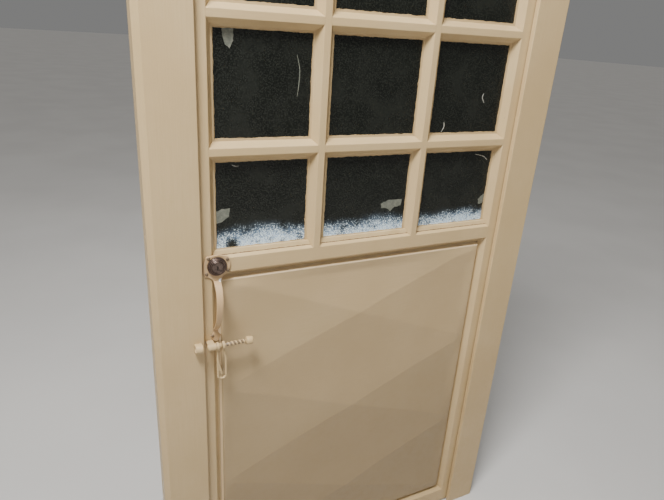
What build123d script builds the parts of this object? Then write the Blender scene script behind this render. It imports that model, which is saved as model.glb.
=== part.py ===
from build123d import *
import os

# A steel door leaf, glazed above and panelled below, hung in its own steel frame.
# X runs to the right, Y into the doorway and Z up, in millimetres.
# x = 0 is the middle of the doorway, y = 0 the front of the leaf's flats, z = 0 the floor.

# Leaf, over all
leaf_width = 838.0
leaf_depth = 38.0
floor_gap = 6.0

# Flat front faces of the leaf's members
stile_flat = 34.0
bottom_rail_flat = 47.0
mid_rail_flat = 33.0
top_rail_flat = 34.0
bar_flat = 16.0

# Clear openings between those flats
panel_opening = 920.0
middle_pane_width = 256.0
low_pane_height = 224.0
pane_height = 243.0
pane_rows = 4

# Rolled edge of every member: a bevel that falls back to a narrow lip
bevel_run = 11.4
bevel_depth = 18.0
lip_width = 4.0
sheet = 1.5
fold_radius = 2.0

# Glass, the putty behind it and the bead in front of the lowest panes
glass_thickness = 4.0
glass_clearance = 2.5
putty_depth = 10.0
putty_foot = 10.0
putty_top = 2.5
bead_start = 0.45
bead_height = 6.0

# Pressed panel: a tray with three cells, each a shallow four-sided pyramid
panel_inset = 20.5
panel_setback = 7.0
panel_flange = 7.0
panel_cells = 3
cell_relief = 5.0

# How far a cutting tool reaches past the face it starts from
overcut = 1.0

# Frame: stop in front of the leaf, face, outer bevel
stop_overlap = 10.0
stop_proud = 14.0
stop_gap = 2.0
edge_gap = 3.0
frame_face = 95.0
frame_bevel = 12.0
fixing_radius = 4.5
fixing_heights = (250.0, 1070.0, 1900.0)

# Lift-off hinges behind the right edge
hinge_heights = (240.0, 1030.0, 1820.0)
knuckle_radius = 8.0
knuckle_length = 42.0
hinge_pin_radius = 5.0
hinge_running = 0.05
hinge_washer = 2.0
hinge_plate = 3.0
hinge_plate_width = 26.0
hinge_behind = 9.0

# Lock cylinder, in the corner of lock stile and middle rail
lock_inset = 44.3
lock_below_rail_top = 14.3
cylinder_radius = 12.0
cylinder_clearance = 0.3
collar_radius = 21.4
collar_height = 9.0
collar_rim = 3.6
collar_step = 5.6
collar_step_width = 1.8
collar_chamfer = 1.6
cylinder_recess = 1.0
plug_radius = 7.0
plug_running = 0.05
plug_proud = 12.0
plug_short = 2.0
keyway_width = 2.2
keyway_height = 8.5
keyway_above = 2.1
keyway_depth = 16.0
tail_thickness = 2.0
tail_width = 8.0
tail_depth = 57.0
tail_in_spindle = 5.0

# Rim lock on the back of the leaf
case_width = 100.0
case_height = 75.0
case_depth = 28.0
case_wall = 2.5
case_edge = 1.0
case_corner = 5.0
bolt_thickness = 13.4
bolt_setback = 6.3
bolt_clearance = 0.3
bolt_length = 78.0
bolt_chamfer = 0.8
dead_bolt_height = 19.4
dead_bolt_drop = 17.7
dead_bolt_throw = 16.0
latch_height = 15.4
latch_rise = 20.3
latch_throw = 10.0
latch_slope = 10.7
latch_tip = 2.7
latch_stem_inset = 68.0
spindle_radius = 6.0
turn_rose_radius = 10.8
turn_rose_height = 4.0
turn_length = 34.0
turn_height = 19.0
turn_thickness = 9.0
stem_radius = 3.0
latch_knob_radius = 7.5
latch_knob_height = 9.0
strike_width = 30.0
strike_gap = 2.0
pocket_margin = 2.0

# Pull handle: shield plate, arched strap and spade foot in one piece
plate_thickness = 4.0
strap_width = 16.0
strap_foot_width = 12.0
strap_thickness = 5.0
strap_rise = 35.5
strap_start = 34.0
strap_overlap = 4.0
foot_drop = 172.0
foot_shift = -5.5
foot_width = 24.0
foot_length = 32.0
foot_hollow = 0.5
foot_shoulder = 6.0
foot_point_side = 6.6
foot_point_drop = 11.5
foot_screw_shift = -7.6

# Screws
screw_radius = 2.0
screw_clearance = 0.3
screw_head_radius = 3.8
screw_head_height = 2.0
screw_crown_radius = 2.6
screw_sides = 12
screw_length = 12.0
screw_tip_gap = 1.0
case_screw_edge = 8.0
case_screw_inset = 6.0
case_screw_bite = 12.0

# Slide bolt under the handle, its sleeve and its keeper
rod_radius = 6.0
rod_ahead = 24.0
rod_below_lock = 188.2
rod_tip_inset = 14.0
rod_length = 89.0
rod_head_radius = 10.0
rod_head_length = 17.0
rod_head_chamfer = 2.5
rod_tip_chamfer = 1.2
rod_running = 0.05
sleeve_radius = 8.5
sleeve_length = 18.0
sleeve_inset = 1.0
sleeve_foot = 9.0
keeper_length = 16.0
keeper_gap = 7.0
keeper_clearance = 0.6

# Hanging link on the slide bolt
wire_radius = 3.0
eye_clearance = 0.3
eye_spread = 12.8
link_gap = 1.0
link_length = 87.4
link_width = 18.8
link_lean = 2.6
link_shoulder = 34.0
shoulder_round = 24.0
link_round = 8.4
tail_top = 38.0
tail_length = 38.0
tail_run = 8.6

# Places worked out from the sizes above
half_leaf = leaf_width / 2
stile_inner = half_leaf - stile_flat
bar_x = (middle_pane_width + bar_flat) / 2
seat_y = bevel_depth + sheet
edge_width = bevel_run + lip_width
glass_back = seat_y + glass_thickness
panel_low = floor_gap + bottom_rail_flat
panel_high = panel_low + panel_opening
rail_top = panel_high + mid_rail_flat
stop_x = half_leaf - stop_overlap
rebate_x = half_leaf + edge_gap
frame_x = stop_x + frame_face + frame_bevel
lock_x = -half_leaf + lock_inset
lock_z = rail_top - lock_below_rail_top
rod_z = lock_z - rod_below_lock
rod_tip = -half_leaf + rod_tip_inset
hinge_x = half_leaf + edge_gap / 2
hinge_y = leaf_depth + hinge_behind


def pane_levels():
    """Bottom and top of the opening of each row of panes, from the lowest up."""
    levels = []
    low = rail_top
    for row in range(pane_rows):
        high = low + (low_pane_height if row == 0 else pane_height)
        levels.append((low, high))
        low = high + bar_flat
    return levels


rows = pane_levels()
glazing_top = rows[-1][1]
leaf_top = glazing_top + top_rail_flat
stop_z = leaf_top - stop_overlap
frame_top = stop_z + frame_face + frame_bevel
columns = [
    (-stile_inner, -bar_x - bar_flat / 2),
    (-middle_pane_width / 2, middle_pane_width / 2),
    (bar_x + bar_flat / 2, stile_inner),
]
row_names = ("bottom", "second", "third", "top")
column_names = ("left", "middle", "right")


# Plain solids

def prism_x(points, x0, x1):
    """Outline of (y, z) points, from x0 to x1."""
    outline = make_face(Polyline(*points, close=True))
    start = Plane(origin=(x0, 0, 0), x_dir=(0, 1, 0), z_dir=(1, 0, 0))
    return extrude(start * outline, amount=x1 - x0)


def prism_y(points, y0, y1):
    """Outline of (x, z) points, from y0 to y1."""
    outline = make_face(Polyline(*points, close=True))
    return extrude(Plane(origin=(0, y1, 0), x_dir=(1, 0, 0), z_dir=(0, -1, 0)) * outline, amount=y1 - y0)


def prism_z(points, z0, z1):
    """Outline of (x, y) points, from z0 to z1."""
    return extrude(Pos(0, 0, z0) * make_face(Polyline(*points, close=True)), amount=z1 - z0)


def block(x0, x1, y0, y1, z0, z1):
    size = Box(x1 - x0, y1 - y0, z1 - z0)
    return Pos((x0 + x1) / 2, (y0 + y1) / 2, (z0 + z1) / 2) * size


def rod_along_x(radius, x0, x1, y, z):
    return Pos((x0 + x1) / 2, y, z) * Rot(0, 90, 0) * Cylinder(radius, x1 - x0)


def rod_along_y(radius, y0, y1, x, z):
    return Pos(x, (y0 + y1) / 2, z) * Rot(90, 0, 0) * Cylinder(radius, y1 - y0)


def rod_along_z(radius, z0, z1, x, y):
    return Pos(x, y, (z0 + z1) / 2) * Cylinder(radius, z1 - z0)


# Rolled sections of the leaf

def edge_points(side, sign):
    """Bevel, lip and web of one side, from the front flat to the back, as (across, depth)."""
    return [
        (side, 0),
        (side + sign * bevel_run, bevel_depth),
        (side + sign * edge_width, bevel_depth),
        (side + sign * edge_width, seat_y),
        (side, seat_y),
        (side, leaf_depth),
    ]


def two_edged(low, high):
    return edge_points(high, 1) + edge_points(low, -1)[::-1]


def one_edged(outer, inner):
    sign = 1 if inner > outer else -1
    return edge_points(inner, sign) + [(outer, leaf_depth), (outer, 0)]


def folded_face(points):
    """Face of (across, depth) points, its corners on the front line rounded as folds in sheet."""
    outline = make_face(Polyline(*points, close=True))
    front = min(corner.Y for corner in outline.vertices())
    corners = [corner for corner in outline.vertices() if corner.Y < front + fold_radius / 2]
    return fillet(corners, fold_radius)


def upright(points, z0, z1):
    """Member of (across, depth) points standing from z0 to z1."""
    return extrude(Pos(0, 0, z0) * folded_face(points), amount=z1 - z0)


def crosswise(points, x0, x1):
    """Member of (across, depth) points lying from x0 to x1."""
    end = Plane(origin=(x1, 0, 0), x_dir=(0, 0, 1), z_dir=(-1, 0, 0))
    return extrude(end * folded_face(points), amount=x1 - x0)


def cut_by(piece, *others):
    for other in others:
        piece = piece - other
    return piece


def leaf_members():
    """Stiles full height, rails coped between them, upright bars, then short cross bars."""
    members = {
        "lock_stile": upright(one_edged(-half_leaf, -stile_inner), floor_gap, leaf_top),
        "hinge_stile": upright(one_edged(half_leaf, stile_inner), floor_gap, leaf_top),
    }
    stiles = list(members.values())
    sections = {
        "bottom_rail": one_edged(floor_gap, panel_low),
        "middle_rail": two_edged(panel_high, rail_top),
        "top_rail": one_edged(leaf_top, glazing_top),
    }
    rails = []
    for name, section in sections.items():
        members[name] = cut_by(crosswise(section, -stile_inner, stile_inner), *stiles)
        rails.append(members[name])
    bars = []
    for name, x in (("left_upright_bar", -bar_x), ("right_upright_bar", bar_x)):
        section = two_edged(x - bar_flat / 2, x + bar_flat / 2)
        members[name] = cut_by(upright(section, rail_top, glazing_top), *rails)
        bars.append(members[name])
    for level, (low, high) in enumerate(rows[:-1]):
        for column, (x0, x1) in enumerate(columns):
            section = two_edged(high, high + bar_flat)
            name = f"{column_names[column]}_cross_bar_{level + 1}"
            members[name] = cut_by(crosswise(section, x0, x1), *stiles, *bars)
    return members


# Glass and what holds it

def pane(x0, x1, z0, z1):
    gap = glass_clearance
    return block(x0 + gap, x1 - gap, seat_y, glass_back, z0 + gap, z1 - gap)


def putty_ring(x0, x1, z0, z1):
    """Putty round a pane: a ring against the glass whose inner face slopes to the web."""
    centre_x = (x0 + x1) / 2
    centre_z = (z0 + z1) / 2
    width = x1 - x0
    height = z1 - z0
    glass_side = Plane(origin=(centre_x, glass_back, centre_z), x_dir=(1, 0, 0), z_dir=(0, 1, 0))
    mouth = glass_side.offset(putty_depth)
    foot = Rectangle(width - 2 * putty_foot, height - 2 * putty_foot)
    rim = Rectangle(width - 2 * putty_top, height - 2 * putty_top)
    clear = loft([glass_side * foot, mouth * rim])
    ring = block(x0, x1, glass_back, glass_back + putty_depth, z0, z1)
    return ring - clear


def low_bead(x0, x1, stiles_and_bars):
    """Strip of bead in front of a bottom pane, lying on the middle rail's bevel and lip."""
    points = [
        (bevel_depth * bead_start, rail_top + bevel_run * bead_start),
        (bevel_depth, rail_top + bevel_run),
        (bevel_depth, rail_top + edge_width),
        (bevel_depth - bead_height, rail_top + edge_width),
    ]
    return cut_by(prism_x(points, x0, x1), *stiles_and_bars)


# Pressed panel

def pyramid(x0, x1, z0, z1, base_y, apex_y):
    """Four-sided pyramid on the XZ plane, its point towards the viewer."""
    base = [(x0, base_y, z0), (x1, base_y, z0), (x1, base_y, z1), (x0, base_y, z1)]
    apex = ((x0 + x1) / 2, apex_y, (z0 + z1) / 2)
    faces = [Face(Wire.make_polygon(base, close=True))]
    for here, there in zip(base, base[1:] + base[:1]):
        faces.append(Face(Wire.make_polygon([here, there, apex], close=True)))
    return Solid(Shell(faces))


def panel_form(x1, z0, z1, shift, back):
    """The tray filled solid, its face moved back by shift and its sides reaching to back."""
    face_y = panel_setback + shift
    form = block(-x1, x1, face_y, back, z0, z1)
    step = (z1 - z0) / panel_cells
    for cell in range(panel_cells):
        low = z0 + cell * step
        form += pyramid(-x1, x1, low, low + step, face_y, face_y - cell_relief)
    return form


def pressed_panel():
    """One pressed sheet: creased face, edges folded back, flange behind the members' lips."""
    x1 = stile_inner - panel_inset
    z0 = panel_low + panel_inset
    z1 = panel_high - panel_inset
    back = seat_y + sheet
    flange = block(
        -x1 - panel_flange, x1 + panel_flange, seat_y, back, z0 - panel_flange, z1 + panel_flange
    )
    outside = panel_form(x1, z0, z1, 0, back) + flange
    inside = panel_form(x1 - sheet, z0 + sheet, z1 - sheet, sheet, back + sheet)
    return outside - inside


# Frame

def frame_section():
    """Outline of a frame member as (out from the stop edge, depth)."""
    outer = frame_face + frame_bevel
    rebate = stop_overlap + edge_gap
    return [
        (0, -stop_proud),
        (frame_face, -stop_proud),
        (outer, frame_bevel - stop_proud),
        (outer, leaf_depth),
        (rebate, leaf_depth),
        (rebate, -stop_gap),
        (0, -stop_gap),
    ]


def jamb(side):
    """Upright of the frame, mitred at the head, with its wall fixings bored across it."""
    post = upright([(side * (stop_x + out), depth) for out, depth in frame_section()], 0, frame_top)
    reach = frame_x + frame_face
    rise = reach - stop_x
    over = [
        (side * (stop_x - frame_face), stop_z - frame_face),
        (side * reach, stop_z + rise),
        (side * (stop_x - frame_face), stop_z + rise),
    ]
    post -= prism_y(over, -2 * stop_proud, 2 * leaf_depth)
    for height in fixing_heights:
        low = min(side * rebate_x, side * frame_x) - overcut
        high = max(side * rebate_x, side * frame_x) + overcut
        post -= rod_along_x(fixing_radius, low, high, leaf_depth / 2, height)
    return post


def head():
    beam = crosswise([(stop_z + out, depth) for out, depth in frame_section()], -frame_x, frame_x)
    reach = frame_x + frame_face
    for side in (-1, 1):
        beyond = [
            (side * (stop_x - frame_face), stop_z - frame_face),
            (side * reach, stop_z + reach - stop_x),
            (side * reach, stop_z - frame_face),
        ]
        beam -= prism_y(beyond, -2 * stop_proud, 2 * leaf_depth)
    return beam


# Hinges

def knuckle(z0, z1, bore):
    tube = rod_along_z(knuckle_radius, z0, z1, hinge_x, hinge_y)
    return tube - rod_along_z(bore, z0 - overcut, z1 + overcut, hinge_x, hinge_y)


def hinge_half(z0, z1, side, bore):
    """Knuckle with the plate that is welded to the frame (side 1) or the leaf (side -1)."""
    near = hinge_x + side * edge_gap
    far = near + side * hinge_plate_width
    plate = block(min(near, far), max(near, far), leaf_depth, leaf_depth + hinge_plate, z0, z1)
    half = plate + rod_along_z(knuckle_radius, z0, z1, hinge_x, hinge_y)
    return half - rod_along_z(bore, z0 - overcut, z1 + overcut, hinge_x, hinge_y)


def hinge_halves(side):
    """Lower halves on the frame (side 1), upper halves on the leaf (side -1)."""
    halves = []
    for height in hinge_heights:
        if side > 0:
            high = height - hinge_washer / 2
            halves.append(hinge_half(high - knuckle_length, high, side, hinge_pin_radius))
        else:
            low = height + hinge_washer / 2
            halves.append(hinge_half(low, low + knuckle_length, side, hinge_pin_radius + hinge_running))
    return halves


def hinge_pins():
    pins = []
    for height in hinge_heights:
        low = height - hinge_washer / 2 - knuckle_length
        high = height + hinge_washer / 2 + knuckle_length - hinge_pin_radius
        pins.append(rod_along_z(hinge_pin_radius, low, high, hinge_x, hinge_y))
    return pins


def hinge_washers():
    rings = []
    for height in hinge_heights:
        low = height - hinge_washer / 2
        rings.append(knuckle(low, low + hinge_washer, hinge_pin_radius + hinge_running))
    return rings


# Lock cylinder

def collar():
    """Stepped rose round the cylinder, turned about the lock's axis."""
    inner = cylinder_radius + plug_running
    step = collar_radius - collar_chamfer
    boss = step - collar_step_width
    profile = [
        (inner, 0),
        (collar_radius, 0),
        (collar_radius, collar_rim),
        (step, collar_step),
        (boss, collar_step),
        (boss, collar_height),
        (inner, collar_height),
    ]
    ring = revolve(make_face(Polyline(*profile, close=True)), axis=Axis.Y)
    return Pos(lock_x, -plate_thickness, lock_z) * Rot(180, 0, 0) * ring


def cylinder_body():
    front = -plate_thickness - collar_height + cylinder_recess
    bore = plug_radius + plug_running
    shell = rod_along_y(cylinder_radius, front, leaf_depth, lock_x, lock_z)
    return shell - rod_along_y(bore, front - overcut, leaf_depth + overcut, lock_x, lock_z)


def cylinder_plug():
    """Turning plug with its keyway in front and the flat tail that drives the lock behind."""
    back = leaf_depth - plug_short
    core = rod_along_y(plug_radius, -plug_proud, back, lock_x, lock_z)
    slot_top = lock_z + keyway_above
    core -= block(
        lock_x - keyway_width / 2, lock_x + keyway_width / 2,
        -plug_proud - overcut, -plug_proud + keyway_depth,
        slot_top - keyway_height, slot_top,
    )
    tail = block(
        lock_x - tail_thickness / 2, lock_x + tail_thickness / 2,
        back - overcut, tail_depth,
        lock_z - tail_width / 2, lock_z + tail_width / 2,
    )
    return core + tail


# Rim lock

case_x0 = -half_leaf + case_edge
case_x1 = case_x0 + case_width
case_back = leaf_depth + case_depth
bolt_y0 = leaf_depth + bolt_setback
bolt_y1 = bolt_y0 + bolt_thickness
latch_z = lock_z + latch_rise
dead_bolt_z = lock_z - dead_bolt_drop
latch_stem_x = case_x0 + latch_stem_inset
strike_x1 = -rebate_x - strike_gap
strike_x0 = strike_x1 - strike_width


def case_screw_places():
    """Two screws over the lock stile and one over the middle rail, clear of the bolts."""
    reach = case_height / 2 - case_screw_inset
    return [
        (case_x0 + case_screw_edge, lock_z + reach),
        (case_x0 + case_screw_edge, lock_z - reach),
        (case_x1 - case_screw_edge, lock_z - case_screw_inset),
    ]


def strike_screw_places():
    reach = case_height / 2 - case_screw_inset
    x = strike_x0 + case_screw_edge
    return [(x, lock_z + reach), (x, lock_z - reach)]


def bore_for_case_screws(member, places):
    """Holes from the back of the lock into the member that carries it."""
    bore = screw_radius + screw_clearance
    for x, z in places:
        member -= rod_along_y(bore, leaf_depth - case_screw_bite, case_back + overcut, x, z)
    return member


def case_screws(places):
    length = case_depth + case_screw_bite - screw_tip_gap
    return [screw(x, z, case_back, -1, length) for x, z in places]


def rim_lock_case():
    """Cast box, open towards the leaf, with windows for both bolts, spindle and latch knob."""
    low = lock_z - case_height / 2
    high = lock_z + case_height / 2
    box = block(case_x0, case_x1, leaf_depth, case_back, low, high)
    box = fillet(box.edges().filter_by(Axis.Y), case_corner)
    inside = case_back - case_wall
    hollow = block(
        case_x0 + case_wall, case_x1 - case_wall,
        leaf_depth - overcut, inside,
        low + case_wall, high - case_wall,
    )
    box -= hollow
    for centre, height in ((latch_z, latch_height), (dead_bolt_z, dead_bolt_height)):
        box -= block(
            case_x0 - overcut, case_x0 + case_wall + overcut,
            bolt_y0 - bolt_clearance, bolt_y1 + bolt_clearance,
            centre - height / 2 - bolt_clearance, centre + height / 2 + bolt_clearance,
        )
    spindle = spindle_radius + plug_running
    box -= rod_along_y(spindle, inside - overcut, case_back + overcut, lock_x, lock_z)
    slot = stem_radius + bolt_clearance
    box -= block(
        latch_stem_x - latch_throw - slot, latch_stem_x + slot,
        inside - overcut, case_back + overcut, latch_z - slot, latch_z + slot,
    )
    return bore_for_case_screws(box, case_screw_places())


def dead_bolt():
    half = dead_bolt_height / 2
    x1 = case_x0 + bolt_length
    bar = block(case_x0, x1, bolt_y0, bolt_y1, dead_bolt_z - half, dead_bolt_z + half)
    return chamfer(bar.faces().sort_by(Axis.X)[0].edges(), bolt_chamfer)


def latch_bolt():
    """Bolt whose nose slopes on the side that meets the strike as the door closes."""
    points = [
        (case_x0 + latch_slope, bolt_y0),
        (case_x0 + bolt_length, bolt_y0),
        (case_x0 + bolt_length, bolt_y1),
        (case_x0, bolt_y1),
        (case_x0, bolt_y1 - latch_tip),
    ]
    return prism_z(points, latch_z - latch_height / 2, latch_z + latch_height / 2)


def latch_knob():
    """Knob that draws the latch back, turned with the stem that runs in the slot of the case."""
    stem_length = case_back + bolt_clearance - bolt_y1
    top = stem_length + latch_knob_height
    profile = [
        (0, 0),
        (stem_radius, 0),
        (stem_radius, stem_length),
        (latch_knob_radius, stem_length),
        (latch_knob_radius, top),
        (0, top),
    ]
    knob = revolve(make_face(Polyline(*profile, close=True)), axis=Axis.Y)
    return Pos(latch_stem_x, bolt_y1, latch_z) * knob


def thumb_turn():
    """Oval grip on the spindle that takes the cylinder's tail in a slot."""
    start = case_back + bolt_clearance
    inner_end = tail_depth - tail_in_spindle
    spindle = rod_along_y(spindle_radius, inner_end, start + turn_rose_height, lock_x, lock_z)
    spindle -= block(
        lock_x - tail_thickness / 2 - bolt_clearance, lock_x + tail_thickness / 2 + bolt_clearance,
        inner_end - overcut, tail_depth + overcut,
        lock_z - tail_width / 2 - bolt_clearance, lock_z + tail_width / 2 + bolt_clearance,
    )
    rose = rod_along_y(turn_rose_radius, start, start + turn_rose_height, lock_x, lock_z)
    face = Plane(origin=(lock_x, start, lock_z), x_dir=(1, 0, 0), z_dir=(0, 1, 0))
    oval = face * Rot(0, 0, 90) * SlotOverall(turn_length, turn_thickness)
    grip = extrude(oval, amount=turn_rose_height + turn_height)
    return spindle + rose + grip


def strike_box():
    """Cast keeper on the back of the lock jamb, with one pocket for each bolt."""
    low = lock_z - case_height / 2
    high = lock_z + case_height / 2
    box = block(strike_x0, strike_x1, leaf_depth, case_back, low, high)
    box = fillet(box.faces().sort_by(Axis.X)[0].edges().filter_by(Axis.Y), case_corner)
    for centre, height, throw in (
        (latch_z, latch_height, latch_throw),
        (dead_bolt_z, dead_bolt_height, dead_bolt_throw),
    ):
        box -= block(
            strike_x1 - throw - pocket_margin, strike_x1 + overcut,
            bolt_y0 - pocket_margin, bolt_y1 + pocket_margin,
            centre - height / 2 - pocket_margin, centre + height / 2 + pocket_margin,
        )
    return bore_for_case_screws(box, strike_screw_places())


# Pull handle

# Screws of the plate about the lock, and the strap's bow as (share of length, share of rise)
plate_screws = [(-18.2, 19.0), (23.4, 13.4), (-22.8, -16.9), (24.4, -12.8)]
strap_bow = [(0.12, 0.66), (0.34, 1.0), (0.62, 0.9), (0.88, 0.48)]

# Outline of the plate about the lock, as (right, up)
plate_peak = (4.0, 26.5)
plate_right_shoulder = (25.0, 20.0)
plate_right_side = (30.5, 0.0)
plate_right_hip = (22.0, -20.0)
plate_right_throat = (13.0, -27.0)
plate_left_shoulder = (-23.0, 23.0)
plate_left_side = (-30.0, -3.0)
plate_left_hip = (-27.0, -24.0)
plate_left_throat = (-14.0, -29.0)
plate_foot = 38.0

foot_x = lock_x + foot_shift
foot_z = lock_z - foot_drop


def plate_outline():
    """Shield round the lock: a peak above, shoulders for the screws, narrowing to the strap."""
    right_foot = (strap_width / 2, -plate_foot)
    left_foot = (-strap_width / 2, -plate_foot)
    edge = [
        Line(plate_peak, plate_right_shoulder),
        ThreePointArc(plate_right_shoulder, plate_right_side, plate_right_hip),
        ThreePointArc(plate_right_hip, plate_right_throat, right_foot),
        Line(right_foot, left_foot),
        ThreePointArc(left_foot, plate_left_throat, plate_left_hip),
        ThreePointArc(plate_left_hip, plate_left_side, plate_left_shoulder),
        Line(plate_left_shoulder, plate_peak),
    ]
    return make_face(Wire(edge))


def foot_outline():
    """Spade: rounded shoulders and a point."""
    half = foot_width / 2
    neck = strap_foot_width / 2
    top = foot_length / 2
    edge = [
        Line((-neck, top), (neck, top)),
        ThreePointArc((neck, top), (neck + foot_hollow, foot_shoulder), (half, 0)),
        ThreePointArc((half, 0), (foot_point_side, -foot_point_drop), (0, -top)),
        ThreePointArc((0, -top), (-foot_point_side, -foot_point_drop), (-half, 0)),
        ThreePointArc((-half, 0), (-neck - foot_hollow, foot_shoulder), (-neck, top)),
    ]
    return make_face(Wire(edge))


def upright_plate(outline, x, z):
    """Outline in the XZ plane about (x, z), with its back on the leaf's front."""
    back = Plane(origin=(x, 0, z), x_dir=(1, 0, 0), z_dir=(0, -1, 0))
    return extrude(back * outline, amount=plate_thickness)


def bow(top, low, rise):
    """Side line of the strap in the YZ plane: away from the leaf quickly, back slowly."""
    points = [(0, -rise * out, top + (low - top) * along) for along, out in strap_bow]
    return Spline((0, 0, top), *points, (0, 0, low))


def strap():
    """Flat bar that leaves the plate, bows out and comes back to the foot, narrowing and leaning."""
    top = lock_z - strap_start
    low = foot_z + foot_length / 2 - strap_overlap
    outer = bow(top, low, strap_rise)
    inner = bow(top - strap_thickness, low + strap_thickness, strap_rise - strap_thickness)
    ends = [Line(outer @ 0, inner @ 0), Line(inner @ 1, outer @ 1)]
    side = make_face(Wire([outer, inner, *ends]))
    band = extrude(Pos(lock_x - strap_width, 0, 0) * side, amount=2 * strap_width, dir=(1, 0, 0))
    front = [
        (lock_x - strap_width / 2, top),
        (lock_x + strap_width / 2, top),
        (foot_x + strap_foot_width / 2, low),
        (foot_x - strap_foot_width / 2, low),
    ]
    return band & prism_y(front, -2 * strap_rise, overcut)


def pull_handle():
    plate = upright_plate(plate_outline(), lock_x, lock_z)
    foot = upright_plate(foot_outline(), foot_x, foot_z)
    handle = plate + foot + strap()
    front = -plate_thickness - overcut
    handle -= rod_along_y(cylinder_radius + cylinder_clearance, front, overcut, lock_x, lock_z)
    for x, z in handle_screw_places():
        handle -= rod_along_y(screw_radius + screw_clearance, front, overcut, x, z)
    return handle


def handle_screw_places():
    places = [(lock_x + x, lock_z + z) for x, z in plate_screws]
    return places + [(foot_x + foot_screw_shift, foot_z)]


def screw(x, z, seat, into, length):
    """Round-headed screw whose head sits on y = seat; into is 1 where it points along +Y."""
    profile = [
        (0, 0),
        (screw_head_radius, 0),
        (screw_crown_radius, screw_head_height),
        (0, screw_head_height),
    ]
    head = revolve(make_face(Polyline(*profile, close=True)), axis=Axis.Y)
    below = Plane(origin=(0, 0, 0), x_dir=(1, 0, 0), z_dir=(0, -1, 0))
    shank = extrude(below * RegularPolygon(screw_radius, screw_sides), amount=length)
    return Pos(x, seat, z) * Rot(180 if into > 0 else 0, 0, 0) * (head + shank)


# Slide bolt

sleeve_x0 = rod_tip + sleeve_inset
sleeve_x1 = sleeve_x0 + sleeve_length


def slide_bolt():
    """Round bar and its knob, turned in one piece."""
    knob_end = rod_length + rod_head_length
    knob_edge = rod_head_radius - rod_head_chamfer
    profile = [
        (0, 0),
        (0, rod_radius - rod_tip_chamfer),
        (rod_tip_chamfer, rod_radius),
        (rod_length, rod_radius),
        (rod_length, knob_edge),
        (rod_length + rod_head_chamfer, rod_head_radius),
        (knob_end - rod_head_chamfer, rod_head_radius),
        (knob_end, knob_edge),
        (knob_end, 0),
    ]
    turned = revolve(make_face(Polyline(*profile, close=True)), axis=Axis.X)
    return Pos(rod_tip, -rod_ahead, rod_z) * turned


def bolt_sleeve():
    """Tube the bolt slides in, on a short foot welded to the lock stile."""
    tube = rod_along_x(sleeve_radius, sleeve_x0, sleeve_x1, -rod_ahead, rod_z)
    foot = block(
        sleeve_x0 + sleeve_inset, sleeve_x1 - sleeve_inset,
        -rod_ahead, 0,
        rod_z - sleeve_foot / 2, rod_z + sleeve_foot / 2,
    )
    bore = rod_radius + rod_running
    guide = tube + foot
    return guide - rod_along_x(bore, sleeve_x0 - overcut, sleeve_x1 + overcut, -rod_ahead, rod_z)


def bolt_keeper():
    """Block on the front of the lock jamb that takes the bolt's tip."""
    x1 = -stop_x - keeper_gap
    x0 = x1 - keeper_length
    bore = rod_radius + keeper_clearance
    half = rod_ahead - stop_proud
    body = block(x0, x1, -rod_ahead, -stop_proud, rod_z - half, rod_z + half)
    body += rod_along_x(half, x0, x1, -rod_ahead, rod_z)
    return body - rod_along_x(bore, x0 - overcut, x1 + overcut, -rod_ahead, rod_z)


# Hanging link

eye_x = sleeve_x1 + link_gap + wire_radius
link_x = eye_x + eye_spread / 2
link_low = rod_z - link_length


def wire_along(path):
    return sweep(Plane(origin=path @ 0, z_dir=path % 0) * Circle(wire_radius), path=path)


def link_loop():
    """The wire's line: down from one eye, out to a shoulder, round the bottom and up again."""
    top = rod_z - rod_radius - eye_clearance - wire_radius / 2
    shoulder = rod_z - link_shoulder
    left = link_x + link_lean - link_width / 2
    right = left + link_width
    places = [
        (eye_x, top), (left, shoulder), (left, link_low),
        (right, link_low), (right, shoulder), (eye_x + eye_spread, top),
    ]
    bends = [shoulder_round, link_round, link_round, shoulder_round]
    return FilletPolyline(*[(x, -rod_ahead, z) for x, z in places], radius=bends)


def link_tail():
    """The wire's end, bent back inside the loop from its left strand."""
    x = link_x + link_lean - link_width / 2
    z = rod_z - tail_top
    return Line((x, -rod_ahead, z), (x + tail_run, -rod_ahead, z - tail_length))


def hanging_link():
    """One wire with an eye at each end of its loop, turning on the slide bolt."""
    wire = wire_along(link_loop()) + wire_along(link_tail())
    inner = rod_radius + eye_clearance
    far_eye = eye_x + eye_spread
    for x in (eye_x, far_eye):
        wire += rod_along_x(inner + wire_radius, x - wire_radius, x + wire_radius, -rod_ahead, rod_z)
    past = 2 * wire_radius
    return wire - rod_along_x(inner, eye_x - past, far_eye + past, -rod_ahead, rod_z)


# The whole door

def bore_for_lock(member):
    bore = cylinder_radius + cylinder_clearance
    return member - rod_along_y(bore, -overcut, leaf_depth + overcut, lock_x, lock_z)


def bore_for_screws(member):
    reach = screw_length - plate_thickness + overcut
    for x, z in handle_screw_places():
        member -= rod_along_y(screw_radius + screw_clearance, -overcut, reach, x, z)
    return member


def frame_nodes():
    return {
        "lock_jamb": bore_for_case_screws(jamb(-1), strike_screw_places()),
        "hinge_jamb": jamb(1),
        "frame_head": head(),
        "strike_box": strike_box(),
        "strike_screws": case_screws(strike_screw_places()),
        "bolt_keeper": bolt_keeper(),
        "hinge_pins": hinge_pins(),
        "hinge_washers": hinge_washers(),
        "hinge_frame_halves": hinge_halves(1),
    }


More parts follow.
